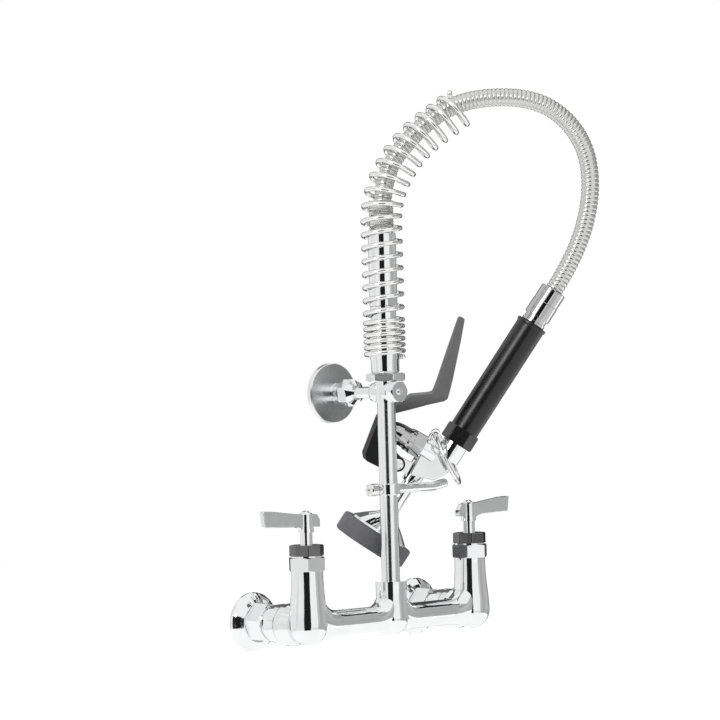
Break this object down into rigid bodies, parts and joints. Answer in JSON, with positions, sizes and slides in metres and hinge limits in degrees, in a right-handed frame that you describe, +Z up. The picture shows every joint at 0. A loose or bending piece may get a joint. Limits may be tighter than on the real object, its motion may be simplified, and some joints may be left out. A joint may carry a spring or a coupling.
{
  "type": "pre-rinse faucet",
  "caption": "Wall-mounted commercial pre-rinse faucet with lever handles, riser, overhead spring and hose, and a squeeze-lever spray valve hung on its hook.",
  "frame": {"origin": "on the finished wall, midway between the two inlets and at their height", "axes": "+X along the wall to the right, +Y into the wall, +Z up"},
  "size_m": [0.3307, 0.1821, 0.5119],
  "materials": {
    "chrome": "polished mirror chrome on brass",
    "dark_nut": "dark bright-dipped steel",
    "spring_steel": "bright stainless wire",
    "hose_steel": "satin stainless interlocked hose",
    "stainless": "bright stainless steel",
    "black_grip": "semi-gloss moulded black",
    "grey_lever": "dark grey satin coating",
    "grey_rubber": "matt dark grey rubber",
    "black_rubber": "matt black rubber",
    "brass": "machined brass"
  },
  "bodies": {
    "mixing_faucet": {"faucet_body": "chrome", "left_coupling_nut": "chrome", "left_coupling_washer": "black_rubber", "left_wall_flange": "chrome", "left_cartridge": "brass", "left_bonnet_nut": "chrome", "left_packing_nut": "dark_nut", "right_coupling_nut": "chrome", "right_coupling_washer": "black_rubber", "right_wall_flange": "chrome", "right_cartridge": "brass", "right_bonnet_nut": "chrome", "right_packing_nut": "dark_nut", "riser_pipe": "chrome", "hook_clamp": "chrome", "hook_screw": "stainless", "bracket_tee": "chrome", "bracket_cap_nut": "chrome", "bracket_rod": "chrome", "bracket_lock_nut": "chrome", "bracket_tube": "chrome", "bracket_flange": "chrome", "bracket_set_screw": "stainless", "riser_lock_nut": "chrome", "spring_seat": "chrome", "hose_sleeve": "chrome", "guard_coil": "hose_steel", "overhead_spring": "spring_steel", "hose": "hose_steel"},
    "left_handle_set": {"left_stem": "chrome", "left_handle": "chrome", "left_handle_screw": "chrome"},
    "right_handle_set": {"right_stem": "chrome", "right_handle": "chrome", "right_handle_screw": "chrome"},
    "spray_valve": {"hose_collar": "chrome", "grip_tube": "brass", "grip_sleeve": "black_grip", "grip_nut": "black_grip", "valve_body": "chrome", "valve_bonnet": "chrome", "return_spring": "stainless", "lever_screw": "stainless", "spray_tube": "chrome", "spray_bell": "chrome", "spray_plate": "stainless", "spray_screw": "stainless", "rubber_bumper": "grey_rubber"},
    "lever": {"squeeze_lever": "grey_lever"},
    "valve_plunger": {"valve_stem": "stainless", "seat_washer": "black_rubber"},
    "ring": {"hold_down_ring": "stainless"}
  },
  "joints": [
    {"name": "left_handle_turn", "type": "hinge", "parent": "mixing_faucet", "child": "left_handle_set", "pos_m": [-0.1016, -0.081, 0.09], "axis": [0, 0, 1], "range_deg": [0, 90]},
    {"name": "right_handle_turn", "type": "hinge", "parent": "mixing_faucet", "child": "right_handle_set", "pos_m": [0.1016, -0.081, 0.09], "axis": [0, 0, -1], "range_deg": [0, 90]},
    {"name": "gun_lift", "type": "slide", "parent": "mixing_faucet", "child": "spray_valve", "axis": [0.796, -0.0995, 0.597], "range_m": [0, 0.028], "deforming": ["hose"]},
    {"name": "squeeze", "type": "hinge", "parent": "spray_valve", "child": "lever", "pos_m": [0.0321, -0.05661, 0.14273], "axis": [0.5128, 0.8493, 0.1255], "range_deg": [0, 9], "stiffness_Nm_per_rad": 3, "springref_deg": -11.46},
    {"name": "stem_push", "type": "slide", "parent": "spray_valve", "child": "valve_plunger", "axis": [0.7634, -0.3842, -0.5191], "range_m": [0, 0.00445], "deforming": ["return_spring"]},
    {"name": "ring_swing", "type": "hinge", "parent": "spray_valve", "child": "ring", "pos_m": [0.06313, -0.07927, 0.16932], "axis": [-0.6562, -0.7238, -0.2134], "range_deg": [0, 12]}
  ],
  "couplings": [
    {"joint": "stem_push", "follows": "squeeze", "m_per_rad": 0.0281}
  ]
}
